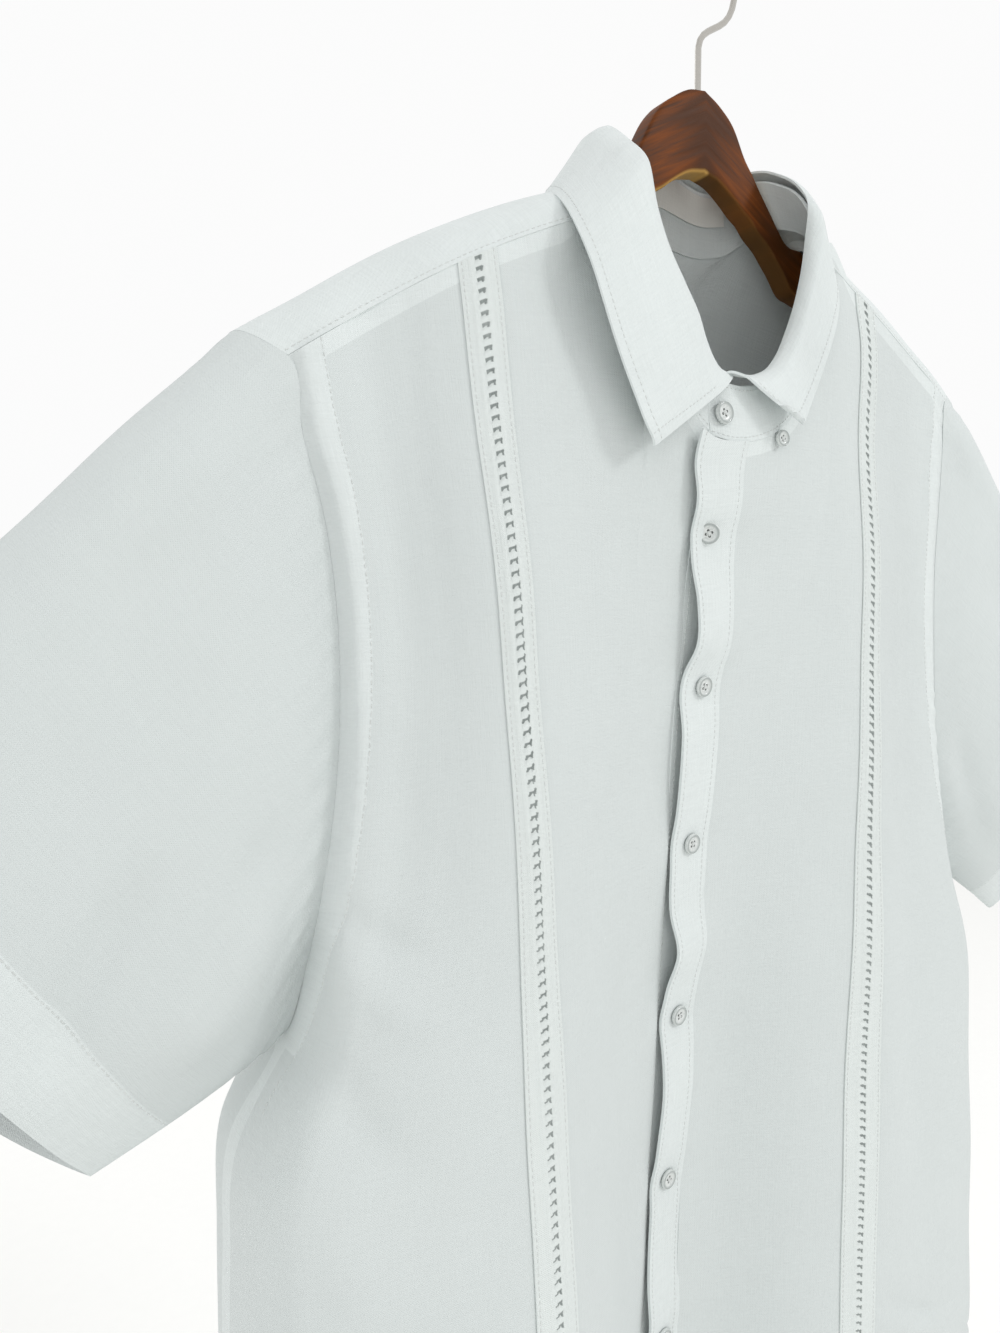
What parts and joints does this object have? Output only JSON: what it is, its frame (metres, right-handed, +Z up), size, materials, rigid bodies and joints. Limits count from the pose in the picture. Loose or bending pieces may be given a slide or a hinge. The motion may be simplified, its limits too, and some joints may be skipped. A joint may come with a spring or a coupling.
{
  "type": "short-sleeved guayabera shirt on a wooden hanger",
  "caption": "Buttoned short-sleeved shirt with a lace band down each front, a turn-down collar and a yoke, hanging on a wooden hanger with a wire hook.",
  "frame": {"origin": "inner top of the hanger's hook, where a rail carries it", "axes": "+X to the wearer's left, -Y out of the front of the shirt, +Z up"},
  "size_m": [0.8407, 0.1466, 0.9532],
  "materials": {
    "cotton_cloth": "fine plain weave, slightly sheer, pressed",
    "cotton_lace": "dense white needlework with a line of small holes",
    "label_cloth": "plain woven label, no text",
    "pearl_resin": "pearly white resin, polished",
    "varnished_wood": "dark brown varnish, satin, grain along the arms",
    "hook_steel": "bright plated wire"
  },
  "bodies": {
    "root": {"front_right": "cotton_cloth", "front_left": "cotton_cloth", "placket_right": "cotton_cloth", "placket_left": "cotton_cloth", "back": "cotton_cloth", "yoke": "cotton_cloth", "sleeve_right": "cotton_cloth", "sleeve_left": "cotton_cloth", "collar_stand": "cotton_cloth", "collar_leaf": "cotton_cloth", "lace_band_right": "cotton_lace", "lace_band_left": "cotton_lace", "label": "label_cloth", "button_front_1": "pearl_resin", "button_front_2": "pearl_resin", "button_front_3": "pearl_resin", "button_front_4": "pearl_resin", "button_front_5": "pearl_resin", "button_front_6": "pearl_resin", "button_stand": "pearl_resin", "button_point_right": "pearl_resin", "button_point_left": "pearl_resin", "hanger_wood": "varnished_wood", "hanger_hook": "hook_steel"}
  },
  "joints": []
}
